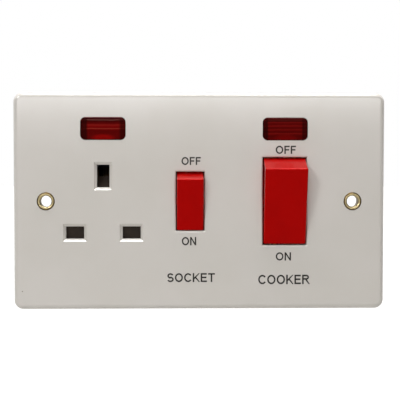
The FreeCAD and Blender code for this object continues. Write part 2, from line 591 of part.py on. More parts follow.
def make_moving_contact(label, unit, x):
    """See-saw contact, bent to a shallow V, with a bead on its fulcrum and a tip at its upper end."""
    body = new_body(label, (x, fulcrum_y, "0"), "-%s_tilt/2" % unit)
    rise, run = "cos(contact_bend)", "sin(contact_bend)"
    half = "contact_width/2"

    def on_arm(reach, lift, side=""):
        """Point at a distance along an arm and at a lift behind its front face."""
        depth = "-contact_thick - (%s)*%s + (%s)*%s" % (reach, run, lift, rise)
        height = "%s((%s)*%s + (%s)*%s)" % (side, reach, rise, lift, run)
        return (depth, height)

    arm = "%s_arm + tip_height/2 + contact_thick/2" % unit
    pad(body, "x", "-" + half, half, [
        ("-contact_thick", "0"), on_arm(arm, "0"), on_arm(arm, "contact_thick"),
        ("contact_thick/%s - contact_thick" % rise, "0"),
        on_arm(arm, "contact_thick", "-"), on_arm(arm, "0", "-")])
    pad(body, "x", "-" + half, half, disc("0", "0", "bead_radius"))
    low, high = "%s_arm - tip_height/2" % unit, "%s_arm + tip_height/2" % unit
    back = "contact_thick + tip_thick"
    pad(body, "x", "contact_thick - " + half, half + " - contact_thick", [
        on_arm(low, "contact_thick/2"), on_arm(high, "contact_thick/2"), on_arm(high, back), on_arm(low, back)])


def jaw_outline():
    """Folded strip of a pin contact: two legs with flared mouths, joined at the rear."""
    gap, mouth, throat = "jaw_gap/2", "jaw_mouth", jaw_throat
    floor = "contact_back - contact_plate"
    inner = [(mouth, gap + " + jaw_flare"), (throat, gap), (floor, gap)]
    outer = [("contact_back", gap + " + metal"), (throat, gap + " + metal"), (mouth, gap + " + jaw_flare + metal")]
    lower = [(y, "-(%s)" % z) for y, z in reversed(inner)] + [(y, "-(%s)" % z) for y, z in reversed(outer)]
    return inner + lower + outer


def make_pin_contact(label, x):
    """Line or neutral contact about its pin: jaws above and below the pin, and a plate at the rear."""
    body = new_body(label, (x, "0", pin_z))
    pad(body, "x", "-jaw_width/2", "jaw_width/2", jaw_outline())
    pad(body, "y", "contact_back - contact_plate", "contact_back", middle_rect("0", "0", "jaw_width", "tail_height"))
    return body


def make_line_contact():
    """Line contact with a tail that runs behind the base and folds forward to the fixed contact."""
    body = make_pin_contact("line_contact", line_x)
    near = "socket_rocker_x - %s - contact_width/2" % line_x
    far = "socket_rocker_x - %s + contact_width/2" % line_x
    pad(body, "y", "contact_back - contact_plate", "contact_back",
        rect("jaw_width/2", "-tail_height/2", far, "tail_height/2"))
    face = fixed_face("socket")
    rear = "contact_back - contact_plate"
    foot = "-tail_height/2"
    fold = "%s - %s" % (line_fold_z, pin_z)
    top = "socket_arm + tip_height - %s" % pin_z
    pad(body, "x", near, far, [
        ("contact_back", foot), ("contact_back", fold + " + contact_plate"),
        (face + " + contact_plate", fold + " + contact_plate"), (face + " + contact_plate", top),
        (face, top), (face, fold), (rear, fold), (rear, foot)])


def make_earth_contact():
    """Earth contact about its pin, with a tab that reaches forward to the strap."""
    body = new_body("earth_contact", ("socket_x", "0", "earth_z"))
    across = [(z, y) for y, z in jaw_outline()]
    pad(body, "z", "-earth_jaw_width/2", "earth_jaw_width/2", across)
    low, high = "strap_top - strap_width/2 - earth_z", "strap_top + strap_width/2 - earth_z"
    pad(body, "x", "jaw_gap/2", "jaw_gap/2 + metal", [
        (jaw_throat, "earth_jaw_width/2 - metal"), (jaw_throat + " + strap_width", "earth_jaw_width/2 - metal"),
        (jaw_throat + " + strap_width", high), (strap_back_y, high), (strap_back_y, low), (jaw_throat, low)])


def make_switch_post():
    """Strip that the socket's moving contact rocks on."""
    body = new_body("socket_switch_post", ("socket_rocker_x", "0", "0"))
    half = "contact_width/2"
    pad(body, "y", post_y, post_back_y,
        rect("-" + half, "line_link_z - link_height/2", half, "bead_radius + bead_cover"))
    pocket(body, "x", "-" + half, half, disc(fulcrum_y, "0", "bead_radius + running_fit"))


def make_shutter():
    """Dark plate behind the pin slots, with two windows and a ramp that the earth pin pushes down."""
    body = new_body("shutter")
    back = shutter_y + " + shutter_thick"
    top = ramp_low + " + ramp_rise"
    left, right = "socket_x - " + shutter_half, "socket_x + " + shutter_half
    pad(body, "y", shutter_y, back, [
        (left, shutter_low), (right, shutter_low), (right, shutter_shoulder),
        ("socket_x + shutter_stem/2", shutter_shoulder), ("socket_x + shutter_stem/2", top),
        ("socket_x - shutter_stem/2", top), ("socket_x - shutter_stem/2", shutter_shoulder), (left, shutter_shoulder)])
    windows = [middle_rect(x, pin_z + " + shutter_travel", "pin_slot_width + 2*shutter_slack",
                           "pin_slot_height + 2*shutter_slack") for x in (line_x, neutral_x)]
    pocket(body, "y", shutter_y, back, *windows)
    flat = "shutter_thick/6"
    pocket(body, "x", "socket_x - shutter_stem/2", "socket_x + shutter_stem/2", [
        (shutter_y, ramp_low), ("%s - %s" % (back, flat), top), (shutter_y, top)])


def make_shutter_spring():
    place = ("socket_x", shutter_y + " + shutter_thick/2", "%s - shutter_spring_length" % shutter_low)
    sizes_of = ("shutter_spring_radius", "shutter_spring_length", "shutter_spring_turns")
    make_coil("shutter_spring", place, None, "XZ_Plane", sizes_of)


def drill_for_screws(body, screws, depth):
    """Screw holes through the front of a base and wells for their heads, open to the rear."""
    pocket(body, "y", "screw_seat", depth, *[disc(x, z, "screw_head + base_slack") for x, z in screws])
    pocket(body, "y", base_y, "screw_seat", *[disc(x, z, "screw_radius + base_slack") for x, z in screws])


def switch_chamber(unit):
    """Half width and half height of a switch chamber, round the bearing ears and the rocker."""
    return ("(%s_open_width/2 + ear_gap + ear_thick + 2*ear_gap)" % unit,
            "(%s_open_height/2 + chamber_gap)" % unit)


def make_socket_base():
    body = new_body("socket_base")
    left, right, low, top = "socket_base_left", "socket_base_right", "socket_base_low", "socket_base_top"
    depth = "socket_base_depth"
    slack = "base_slack"
    block = pad(body, "y", base_y, depth, rect(left, low, right, top))
    dress("Fillet", body, block, "Radius", "base_round", lambda edge: along(edge, "y"))

    # Contact chambers, open to the front, and the slot for the earth tab.
    chambers = [middle_rect(x, pin_z, "pin_chamber", "pin_chamber") for x in (line_x, neutral_x)]
    earth_width = "jaw_gap + 2*metal + 2*jaw_flare + 2*" + slack
    chambers.append(middle_rect("socket_x", "earth_z", earth_width, "earth_slot_height + base_wall"))
    pocket(body, "y", base_y, "contact_back", *chambers)
    tab = "socket_x + jaw_gap/2"
    pocket(body, "y", base_y, "%s + strap_width + %s" % (jaw_throat, slack),
           rect(tab + " - " + slack, "earth_z", tab + " + metal + " + slack, top))

    # Switch chamber, with a slot at its floor for the folded tail of the line contact.
    width, height = switch_chamber("socket")
    x = "socket_rocker_x"
    pocket(body, "y", base_y, post_back_y, middle_rect(x, "0", "2*" + width, "2*" + height))
    strip = "(contact_width/2 + %s)" % slack
    pocket(body, "y", post_back_y, "contact_back",
           rect("%s - %s" % (x, strip), "%s - %s" % (line_fold_z, slack),
                "%s + %s" % (x, strip), "socket_arm + tip_height + " + slack))

    # Channels for the fulcrum strip and the line link, open at the bottom.
    pocket(body, "z", low, "-" + height, rect("%s - %s" % (x, strip), post_y + " - " + slack,
                                              "%s + %s" % (x, strip), post_back_y))
    pocket(body, "z", low, "line_link_z + link_height/2 + " + slack,
           rect("%s - %s" % (x, strip), post_y + " - " + slack, right, post_back_y + " + link_thick + " + slack))

    # Grooves in the rear for the line tail and the neutral link.
    pocket(body, "y", "contact_back - contact_plate", depth,
           rect(line_x + " - jaw_width/2 - " + slack, pin_z + " - tail_height/2 - " + slack,
                "%s + %s" % (x, strip), pin_z + " + tail_height/2 + " + slack))
    pocket(body, "y", "contact_back - contact_plate", depth,
           rect("%s - %s" % (x, strip), pin_z, "%s + %s" % (x, strip), line_fold_z + " + contact_plate + " + slack))
    pocket(body, "y", "contact_back", depth,
           rect(neutral_x + " - jaw_width/2 - " + slack, "neutral_link_z - link_height/2 - " + slack,
                right, "neutral_link_z + link_height/2 + " + slack))
    pocket(body, "y", "contact_back", depth,
           rect(neutral_x + " - jaw_width/2 - " + slack, "neutral_link_z",
                neutral_x + " + jaw_width/2 + " + slack, pin_z + " + tail_height/2 + " + slack))
    drill_for_screws(body, socket_screws, depth)


def pole_x(side):
    """Middle of a pole's moving contact; line is the minus side."""
    return "(cooker_rocker_x %s pole_offset)" % side


def block_x(side):
    """Middle of a pole's terminals."""
    return "(cooker_rocker_x %s terminal_offset)" % side


def ends_along(end, near, far):
    """Span along Z at the supply (-) or the load (+) end, given by its distances from the middle."""
    return ("-(%s)" % far, "-(%s)" % near) if end == "-" else (near, far)


def clamp_places(end):
    """Heights of a terminal's two clamp screws."""
    return ["%s(%s %s clamp_pitch/2)" % (end, clamp_z, side) for side in ("-", "+")]


def make_terminal(label, side, end):
    """Brass terminal: a block with a cable tunnel and a tongue that carries or meets the moving contact."""
    body = new_body(label)
    x = block_x(side)
    pad(body, "z", *ends_along(end, terminal_z, "cooker_base_half"),
        rect(x + " - terminal_width/2", "terminal_front", x + " + terminal_width/2", "contact_back"))
    half = "contact_width/2"
    middle = pole_x(side)
    if end == "-":
        pad(body, "y", post_y, post_back_y,
            rect("%s - %s" % (middle, half), "-(%s + tunnel_end/2)" % terminal_z,
                 "%s + %s" % (middle, half), "bead_radius + bead_cover"))
        pocket(body, "x", "%s - %s" % (middle, half), "%s + %s" % (middle, half),
               disc(fulcrum_y, "0", "bead_radius + running_fit"))
    else:
        pad(body, "y", fixed_face("cooker"), post_back_y,
            rect("%s - %s" % (middle, half), "cooker_arm - tip_height",
                 "%s + %s" % (middle, half), terminal_z + " + tunnel_end/2"))
    pocket(body, "z", *ends_along(end, terminal_z + " + tunnel_end", "cooker_base_half"),
           disc(x, tunnel_y, "tunnel_radius"))
    pocket(body, "y", tunnel_y, "contact_back",
           *[disc(x, z, "clamp_radius + fit_gap") for z in clamp_places(end)])


def slotted(body, axis_high, places, radius):
    """Screwdriver slots across the rear ends of a group of screws."""
    pocket(body, "y", axis_high + " - slot_depth", axis_high,
           *[middle_rect(x, z, "2*(%s) + over_cut" % radius, "slot_width") for x, z in places])


def make_clamp_screws(label, places, tip):
    """Group of like clamp screws, backed out so that their tips clear the cable tunnel."""
    body = new_body(label)
    pad(body, "y", tip, tip + " + clamp_length", *[disc(x, z, "clamp_radius") for x, z in places])
    slotted(body, tip + " + clamp_length", places, "clamp_radius")


def make_base_screws():
    body = new_body("base_screws")
    places = socket_screws + cooker_screws
    pad(body, "y", "-screw_reach", "screw_seat", *[disc(x, z, "screw_radius") for x, z in places])
    head = pad(body, "y", "screw_seat", "screw_seat + screw_head_thick", *[disc(x, z, "screw_head") for x, z in places])
    dress("Chamfer", body, head, "Size", "screw_head_thick/3",
          lambda edge: level(edge, "y", "screw_seat + screw_head_thick"))
    slotted(body, "screw_seat + screw_head_thick", places, "screw_head")


def make_earth_terminal():
    body = new_body("earth_terminal", ("earth_gap_x", "0", "0"))
    half = "earth_block_height/2"
    pad(body, "z", "-" + half, half,
        rect("-earth_block_width/2", strap_back_y, "earth_block_width/2", earth_block_y))
    pocket(body, "z", "-" + half, half, disc("0", earth_tunnel_y, "tunnel_radius"))
    pocket(body, "y", earth_tunnel_y, earth_block_y,
           *[disc("0", "%s clamp_pitch" % side, "clamp_radius + fit_gap") for side in ("-", "")])


def make_line_link():
    """Bar from the line supply terminal to the socket switch."""
    body = new_body("line_link")
    pad(body, "y", post_back_y, post_back_y + " + link_thick",
        rect("socket_rocker_x - contact_width/2", "line_link_z - link_height/2",
             block_x("-") + " - terminal_width/2", "line_link_z + link_height/2"))


def neutral_link_outline(grow):
    """Bar from the neutral contact to the neutral supply terminal, with a tab at each end."""
    low, high = "neutral_link_z - link_height/2 - " + grow, "neutral_link_z + link_height/2 + " + grow
    left = neutral_x + " - jaw_width/2 - " + grow
    inner = neutral_x + " + jaw_width/2 + " + grow
    near = block_x("+") + " - terminal_width/2 - " + grow
    far = block_x("+") + " + terminal_width/2 + " + grow
    foot = "-%s - tunnel_end/2 - %s" % (terminal_z, grow)
    return [(left, low), (near, low), (near, foot), (far, foot), (far, high), (inner, high),
            (inner, pin_z + " + tail_height/2 + " + grow), (left, pin_z + " + tail_height/2 + " + grow)]


def make_neutral_link():
    body = new_body("neutral_link")
    pad(body, "y", "contact_back", "contact_back + link_thick", neutral_link_outline("0"))


def make_cooker_base():
    body = new_body("cooker_base")
    left, right, end, depth = "cooker_base_left", "cooker_base_right", "cooker_base_half", "cooker_base_depth"
    slack = "base_slack"
    block = pad(body, "y", base_y, depth, rect(left, "-" + end, right, end))
    dress("Fillet", body, block, "Radius", "base_round", lambda edge: along(edge, "y"))

    # Step in the front for the lamp and the lens clips.
    pocket(body, "y", base_y, lamp_y + " + lamp_radius + 2*lamp_gap",
           rect(left, "cooker_lens_z - lens_height/2 - 1.5*lens_flange", right, end))

    # Switch chamber with a wall between the poles.
    width, height = switch_chamber("cooker")
    pocket(body, "y", base_y, post_back_y, middle_rect("cooker_rocker_x", "0", "2*" + width, "2*" + height))
    pad(body, "y", "(pivot_depth - plate_depth) + fulcrum_reach/2 + rocker_skirt", post_back_y,
        middle_rect("cooker_rocker_x", "0", "0.75*base_wall", "2*" + height))

    # Pockets for the terminals at both ends, with slots for their tongues.
    strip = "(contact_width/2 + %s)" % slack
    for stop in ("-", "+"):
        front = post_y if stop == "-" else fixed_face("cooker")
        blocks = [rect("%s - terminal_width/2 - %s" % (block_x(side), slack), "terminal_front - " + slack,
                       "%s + terminal_width/2 + %s" % (block_x(side), slack), "contact_back")
                  for side in ("-", "+")]
        pocket(body, "z", *ends_along(stop, "%s - %s" % (terminal_z, slack), end), *blocks)
        tongues = [rect("%s - %s" % (pole_x(side), strip), "%s - %s" % (front, slack),
                        "%s + %s" % (pole_x(side), strip), post_back_y) for side in ("-", "+")]
        pocket(body, "z", *ends_along(stop, height, "%s + tunnel_end/2 + %s" % (terminal_z, slack)), *tongues)
        pocket(body, "y", "contact_back", depth,
               *[disc(block_x(side), z, "clamp_radius + " + slack) for side in ("-", "+") for z in clamp_places(stop)])

    # Channel for the line link, open at the bottom, and groove in the rear for the neutral link.
    pocket(body, "z", "-" + end, "line_link_z + link_height/2 + " + slack,
           rect(left, post_back_y + " - " + slack, block_x("-"), post_back_y + " + link_thick + " + slack))
    groove = neutral_link_outline(slack)
    trimmed = [(left, groove[0][1])] + groove[1:5] + [(left, groove[4][1])]
    pocket(body, "y", "contact_back", depth, trimmed)
    drill_for_screws(body, cooker_screws, depth)


make_front_plate()
make_eyelet("eyelet_left", "-")
make_eyelet("eyelet_right", "")
make_earth_strap()
for unit, lens_x, lens_z in (("socket", "socket_x", "socket_lens_z"), ("cooker", "cooker_lens_x", "cooker_lens_z")):
    make_lens(unit + "_lens", lens_x, lens_z)
    make_lamp(unit + "_neon_lamp", lens_x, lens_z)
    make_resistor(unit + "_neon_resistor", lens_x, lens_z)

make_socket_base()
make_pin_contact("neutral_contact", neutral_x)
make_line_contact()
make_earth_contact()
make_shutter()
make_shutter_spring()
make_rocker("socket", ["0"])
make_switch_post()
make_cooker_base()
make_rocker("cooker", ["-pole_offset", "pole_offset"])

# Each pole of a switch has a plunger, its spring and a see-saw contact.
poles = [("socket", "socket", "socket_rocker_x"), ("cooker_line", "cooker", pole_x("-")),
         ("cooker_neutral", "cooker", pole_x("+"))]
for pole, unit, x in poles:
    make_plunger(pole + "_plunger", unit, x)
    make_plunger_spring(pole + "_plunger_spring", unit, x)
    make_moving_contact(pole + "_moving_contact", unit, x)

for pole, side in (("line", "-"), ("neutral", "+")):
    make_terminal("cooker_%s_supply_terminal" % pole, side, "-")
    make_terminal("cooker_%s_load_terminal" % pole, side, "+")
clamps = [(block_x(side), z) for side in ("-", "+") for end in ("-", "+") for z in clamp_places(end)]
make_clamp_screws("terminal_screws", clamps, tunnel_y + " + tunnel_radius + fit_gap")
make_line_link()
make_neutral_link()
make_earth_terminal()
earth_clamps = [("earth_gap_x", "%s clamp_pitch" % side) for side in ("-", "")]
make_clamp_screws("earth_terminal_screws", earth_clamps, earth_tunnel_y + " + tunnel_radius + fit_gap")
make_base_screws()

doc.recompute()
for feature in doc.Objects:
    if "Invalid" in feature.State or "Error" in feature.State:
        raise RuntimeError("%s failed: %s" % (feature.Label, feature.State))
bodies = [feature for feature in doc.Objects if feature.TypeId == "PartDesign::Body"]
for body in bodies:
    if body.Shape.isNull() or not body.Shape.isValid():
        raise RuntimeError(body.Label + " has no valid shape")
os.makedirs("parts", exist_ok=True)
for body in bodies:
    body.Shape.exportStep("parts/%s.step" % body.Label)
    print("%s: %d solid(s), %.1f mm3" % (body.Label, len(body.Shape.Solids), body.Shape.Volume))
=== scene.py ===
import json
import math
import bmesh
import bpy
import numpy as np
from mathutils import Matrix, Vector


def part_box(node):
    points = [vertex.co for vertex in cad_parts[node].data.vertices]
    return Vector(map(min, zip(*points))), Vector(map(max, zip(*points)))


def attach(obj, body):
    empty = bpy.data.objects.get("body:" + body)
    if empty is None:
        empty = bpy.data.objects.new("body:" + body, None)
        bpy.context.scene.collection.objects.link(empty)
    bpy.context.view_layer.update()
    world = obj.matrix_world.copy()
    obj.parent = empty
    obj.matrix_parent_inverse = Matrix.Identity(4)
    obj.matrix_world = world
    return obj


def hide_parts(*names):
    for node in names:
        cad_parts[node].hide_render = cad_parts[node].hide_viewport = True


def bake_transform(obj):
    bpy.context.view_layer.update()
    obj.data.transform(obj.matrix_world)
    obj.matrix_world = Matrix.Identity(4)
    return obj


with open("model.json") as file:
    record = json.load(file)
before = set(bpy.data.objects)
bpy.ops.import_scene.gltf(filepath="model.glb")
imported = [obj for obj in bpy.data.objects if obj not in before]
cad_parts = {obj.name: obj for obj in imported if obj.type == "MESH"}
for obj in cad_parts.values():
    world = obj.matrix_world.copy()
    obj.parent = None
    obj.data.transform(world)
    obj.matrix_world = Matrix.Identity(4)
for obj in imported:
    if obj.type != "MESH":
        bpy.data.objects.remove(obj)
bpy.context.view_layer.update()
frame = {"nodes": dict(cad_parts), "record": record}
mm = 0.001  # Blender works in metres, the sizes below are in millimetres
print("frame loaded:", len(frame["nodes"]), "nodes")


def linear(hexText):
    # sRGB hex to linear red, green, blue, alpha
    shares = np.array([int(hexText[i:i + 2], 16) for i in (1, 3, 5)]) / 255
    bright = ((shares + 0.055) / 1.055) ** 2.4
    return (*np.where(shares <= 0.04045, shares / 12.92, bright).tolist(), 1.0)


def perMetre(size):
    # texture scale that gives features of this size in millimetres
    return 1 / (size * mm)


def addNode(tree, kind, settings=None, links=None, stops=None):
    # settings are node properties or input values, links are input: output, stops are a ramp's colours
    node = tree.nodes.new("ShaderNode" + kind)
    for key, value in (settings or {}).items():
        if isinstance(key, str) and hasattr(node, key):
            setattr(node, key, value)
        else:
            node.inputs[key].default_value = value
    for key, source in (links or {}).items():
        tree.links.new(source, node.inputs[key])
    for i, (place, colour) in enumerate(stops or []):
        ramp = node.color_ramp.elements
        stop = ramp[i] if i < 2 else ramp.new(place)
        stop.position, stop.color = place, linear(colour)
    return node


def startMaterial(name):
    # an empty material, its node tree and the Object coordinates
    material = bpy.data.materials.new(name)
    material.use_nodes = True
    tree = material.node_tree
    tree.nodes.clear()
    return material, tree, addNode(tree, "TexCoord").outputs["Object"]


def endMaterial(tree, settings, links):
    # the shader and the output, which close every material
    shader = addNode(tree, "BsdfPrincipled", settings, links)
    addNode(tree, "OutputMaterial", links={"Surface": shader.outputs[0]})


# what the mouldings share: the noise levels where the cloudiness begins and ends, how much of the
# skin's waves shows, and how far the gloss strays
mouldedSkin = {"cloudSpan": (0.35, 0.6), "waveStrength": 0.6, "glossStray": 0.03}
# urea moulding, pressed in a polished steel tool: clean warm white with a soft shine,
# faint cloudiness from the flow and a skin that is never quite flat
ureaPlate = {"colour": "#ddd8d2", "cloudColour": "#dad5ce", "cloudSize": 30, "waveSize": 5,
             "waveDepth": 0.003, "roughness": 0.16, "shine": 0.85, "ior": 1.56,
             "speckColour": "#7d7468", "speckPlace": (-69.6, -8.5, -35.4), "speckSize": 0.3, "speckCore": 0.4}
# the rear mouldings are phenolic: dark brown, close to black, with a satin skin
phenolicBase = {"colour": "#2e2723", "cloudColour": "#26201c", "cloudSize": 12, "waveSize": 1.5,
                "waveDepth": 0.02, "roughness": 0.4, "shine": 0.4, "ior": 1.6}
# polycarbonate rocker, moulded through in red: deep even colour, glossy skin with a faint ripple
redRocker = {"colour": "#af0201", "cloudColour": "#a90201", "cloudSize": 9, "waveSize": 4,
             "waveDepth": 0.004, "roughness": 0.16, "shine": 1.0, "shineTint": "#ff3434", "ior": 1.5}
# nylon with carbon black and brown: the shutter, near black with a dull moulded skin
brownNylon = {"colour": "#30251b", "cloudColour": "#291f17", "cloudSize": 4, "waveSize": 0.8,
              "waveDepth": 0.02, "roughness": 0.5, "shine": 0.2, "ior": 1.53}
# acetal plunger, natural white and slightly waxy
acetal = {"colour": "#e4e1d6", "cloudColour": "#dcd8cb", "cloudSize": 3, "waveSize": 0.6,
          "waveDepth": 0.01, "roughness": 0.36, "shine": 0.5, "ior": 1.48}


def moulding(name, finish, speck=False):
    material, tree, place = startMaterial(name)
    cloud = addNode(tree, "TexNoise", {"Scale": perMetre(finish["cloudSize"]), "Detail": 3}, {"Vector": place})
    cloudy, clear = mouldedSkin["cloudSpan"]
    colour = addNode(tree, "ValToRGB", links={"Fac": cloud.outputs[0]},
                     stops=[(cloudy, finish["cloudColour"]), (clear, finish["colour"])]).outputs[0]
    if speck:
        # one dark grain shut into the skin: a ramp on the distance from its centre
        centre = [v * mm for v in finish["speckPlace"]]
        size = finish["speckSize"] * mm
        away = addNode(tree, "VectorMath", {"operation": "DISTANCE", 1: centre}, {0: place})
        mask = addNode(tree, "MapRange", {"From Min": finish["speckCore"] * size, "From Max": size,
                                          "To Min": 1, "To Max": 0}, {"Value": away.outputs["Value"]})
        colour = addNode(tree, "Mix", {"data_type": "RGBA", 7: linear(finish["speckColour"])},
                         {0: mask.outputs[0], 6: colour}).outputs[2]
    wave = addNode(tree, "TexNoise", {"Scale": perMetre(finish["waveSize"]), "Detail": 2}, {"Vector": place})
    bump = addNode(tree, "Bump", {"Strength": mouldedSkin["waveStrength"],
                                  "Distance": finish["waveDepth"] * mm}, {"Height": wave.outputs[0]})
    stray = mouldedSkin["glossStray"]
    gloss = addNode(tree, "MapRange", {"To Min": finish["roughness"] - stray,
                                       "To Max": finish["roughness"] + stray}, {"Value": cloud.outputs[0]})
    endMaterial(tree, {"IOR": finish["ior"], "Specular IOR Level": finish["shine"],
                       "Specular Tint": linear(finish.get("shineTint", "#ffffff"))},
                {"Base Color": colour, "Roughness": gloss.outputs[0], "Normal": bump.outputs[0]})
    return material


# what the bare metals share: the noise levels between dull and clean, and how much of the grain shows
bareStock = {"dullSpan": (0.36, 0.58), "grainStrength": 0.5}
# rolled and turned brass, left bare: warm yellow that dulls to brown in patches, with fine tool lines
brassStock = {"colour": "#c9a869", "dullColour": "#a98749", "dullSize": 6, "grain": (0.25, 4, 0.25),
              "grainDepth": 0.006, "roughness": (0.2, 0.38)}
# phosphor bronze of the earth contact, browned with age and darkened further as painted shade for its place
# deep in the earth slot; rough, so that it hardly shines
tarnishAndShadeBronze = {"colour": "#4a3a2a", "dullColour": "#33281d", "dullSize": 4, "grain": (0.25, 4, 0.25),
                 "grainDepth": 0.006, "roughness": (0.4, 0.55)}
# zinc on mild steel: pale blue grey with a soft spangle
zincPlate = {"colour": "#c3c7c9", "dullColour": "#9a9d9c", "dullSize": 2, "grain": (0.4, 0.4, 0.4),
             "grainDepth": 0.004, "roughness": (0.22, 0.4)}
# drawn spring wire: darker grey, smooth along the wire
springWire = {"colour": "#a6a6a2", "dullColour": "#77756f", "dullSize": 1.5, "grain": (0.2, 0.2, 1.2),
              "grainDepth": 0.003, "roughness": (0.24, 0.36)}


def bareMetal(name, finish):
    # grain is drawn coarser than the real tool lines, so that it shows
    material, tree, place = startMaterial(name)
    dull, clean = bareStock["dullSpan"]
    patch = addNode(tree, "TexNoise", {"Scale": perMetre(finish["dullSize"]), "Detail": 4}, {"Vector": place})
    colour = addNode(tree, "ValToRGB", links={"Fac": patch.outputs[0]},
                     stops=[(dull, finish["dullColour"]), (clean, finish["colour"])])
    lines = addNode(tree, "Mapping", {"Scale": [perMetre(size) for size in finish["grain"]]}, {"Vector": place})
    grain = addNode(tree, "TexNoise", {"Scale": 1.0, "Detail": 2}, {"Vector": lines.outputs[0]})
    bump = addNode(tree, "Bump", {"Strength": bareStock["grainStrength"],
                                  "Distance": finish["grainDepth"] * mm}, {"Height": grain.outputs[0]})
    smooth, rough = finish["roughness"]
    gloss = addNode(tree, "MapRange", {"From Min": dull, "From Max": clean, "To Min": rough, "To Max": smooth},
                    {"Value": patch.outputs[0]})
    endMaterial(tree, {"Metallic": 1.0},
                {"Base Color": colour.outputs[0], "Roughness": gloss.outputs[0], "Normal": bump.outputs[0]})
    return material


# neon window: clear red acrylic cap over ribs, with the look through its face painted into the colour.
# Painted shade makes the rim and side walls almost black; the middle is deep red, with paler painted
# highlights where the ribs and the top edge catch the light, and a painted glint lies at the foot.
# spans, walls and the upward colours are shares of the window's width or height
windowLens = {"width": 17.6, "height": 8.8, "wallShadeColour": "#240605", "paintedGlintColour": "#960a08",
              "roughness": 0.12, "ior": 1.49, "shine": 0.4, "shineTint": "#ff4848", "transmission": 0.15,
              "leftWall": (0.13, 0.17), "rightWall": (0.84, 0.9), "wallShadeStrength": (0.9, 0.8),
              "swaySize": 4, "sway": 0.04,
              "glintSpan": (0.16, 0.3), "glintFlat": 1.6, "glintLift": 0.14, "glint": 0.8,
              "upwardLightAndShade": ((0.0, "#2c0404"), (1.0, "#1a0303"), (0.07, "#5c0605"), (0.2, "#600706"),
                         (0.4, "#5a0605"), (0.46, "#700807"), (0.495, "#963026"), (0.525, "#6c0807"),
                         (0.6, "#7c0a08"), (0.655, "#8a1d18"), (0.7, "#640706"), (0.78, "#4a0605"),
                         (0.85, "#380505"), (0.88, "#6e4a44"), (0.915, "#2c0505"))}
# the cooker's window: its painted glint is faint, and four fine ribs show as paler painted lines
cookerLens = {**windowLens, "glint": 0.3, "leftWall": (0.1, 0.13), "rightWall": (0.86, 0.89),
              "upwardLightAndShade": ((0.0, "#3a0606"), (1.0, "#1a0303"), (0.08, "#5e0706"), (0.16, "#520605"),
                         (0.25, "#5c0706"), (0.29, "#801512"), (0.33, "#560605"), (0.42, "#580605"),
                         (0.46, "#7e1411"), (0.5, "#580605"), (0.59, "#5a0606"), (0.63, "#821613"),
                         (0.67, "#5a0606"), (0.75, "#5c0706"), (0.79, "#761310"), (0.83, "#3a0505"),
                         (0.9, "#4a1512"))}


def tintedLens(name, node, finish):
    low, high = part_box(node)
    centre = (low + high) / 2
    halfX, halfZ = finish["width"] / 2 * mm, finish["height"] / 2 * mm
    material, tree, place = startMaterial(name)
    axes = addNode(tree, "SeparateXYZ", links={0: place})
    # shares of the window's width and height, from its lower left corner, bent a little by the moulding
    across = addNode(tree, "MapRange", {"From Min": centre.x - halfX, "From Max": centre.x + halfX},
                     {"Value": axes.outputs[0]})
    up = addNode(tree, "MapRange", {"From Min": centre.z - halfZ, "From Max": centre.z + halfZ},
                 {"Value": axes.outputs[2]})
    flow = addNode(tree, "TexNoise", {"Scale": perMetre(finish["swaySize"]), "Detail": 1}, {"Vector": place})
    bent = addNode(tree, "Math", {"operation": "MULTIPLY_ADD", 1: finish["sway"]},
                   {0: flow.outputs[0], 2: up.outputs[0]})
    level = addNode(tree, "Math", {"operation": "SUBTRACT", 1: finish["sway"] / 2}, {0: bent.outputs[0]})
    # colours up the window: deep red with paler painted highlight lines, and painted shade at the top and
    # bottom
    middle = addNode(tree, "ValToRGB", links={"Fac": level.outputs[0]}, stops=finish["upwardLightAndShade"])
    # painted glint: a soft flat oval of paler red at the foot of the window
    aside = addNode(tree, "Math", {"operation": "SUBTRACT", 1: 0.5}, {0: across.outputs[0]})
    lift = addNode(tree, "Math", {"operation": "MULTIPLY_ADD", 1: finish["glintFlat"], 2: -finish["glintLift"]},
                   {0: up.outputs[0]})
    spot = addNode(tree, "CombineXYZ", links={0: aside.outputs[0], 1: lift.outputs[0]})
    away = addNode(tree, "VectorMath", {"operation": "LENGTH"}, {0: spot.outputs[0]})
    near = addNode(tree, "MapRange", {"From Min": finish["glintSpan"][0], "From Max": finish["glintSpan"][1],
                                      "To Min": finish["glint"], "To Max": 0.0},
                   {"Value": away.outputs["Value"]})
    lit = addNode(tree, "Mix", {"data_type": "RGBA", 7: linear(finish["paintedGlintColour"])},
                  {0: near.outputs[0], 6: middle.outputs[0]})
    # painted shade: the cap's side walls, darker
    leftShade, rightShade = finish["wallShadeStrength"]
    left = addNode(tree, "MapRange", {"From Min": finish["leftWall"][0], "From Max": finish["leftWall"][1],
                                      "To Min": leftShade, "To Max": 0.0}, {"Value": across.outputs[0]})
    right = addNode(tree, "MapRange", {"From Min": finish["rightWall"][0], "From Max": finish["rightWall"][1],
                                       "To Min": 0.0, "To Max": rightShade}, {"Value": across.outputs[0]})
    wall = addNode(tree, "Math", {"operation": "MAXIMUM"}, {0: left.outputs[0], 1: right.outputs[0]})
    colour = addNode(tree, "Mix", {"data_type": "RGBA", 7: linear(finish["wallShadeColour"])},
                     {0: wall.outputs[0], 6: lit.outputs[2]})
    endMaterial(tree, {"Roughness": finish["roughness"], "IOR": finish["ior"],
                       "Specular IOR Level": finish["shine"], "Specular Tint": linear(finish["shineTint"]),
                       "Transmission Weight": finish["transmission"]}, {"Base Color": colour.outputs[2]})
    return material


# drawn glass of the lamp: clear, a little wavy
lampGlass = {"colour": "#f2efe9", "waveSize": 2.5, "waveDepth": 0.02, "waveStrength": 0.4,
             "roughness": 0.04, "ior": 1.5, "transmission": 0.9}


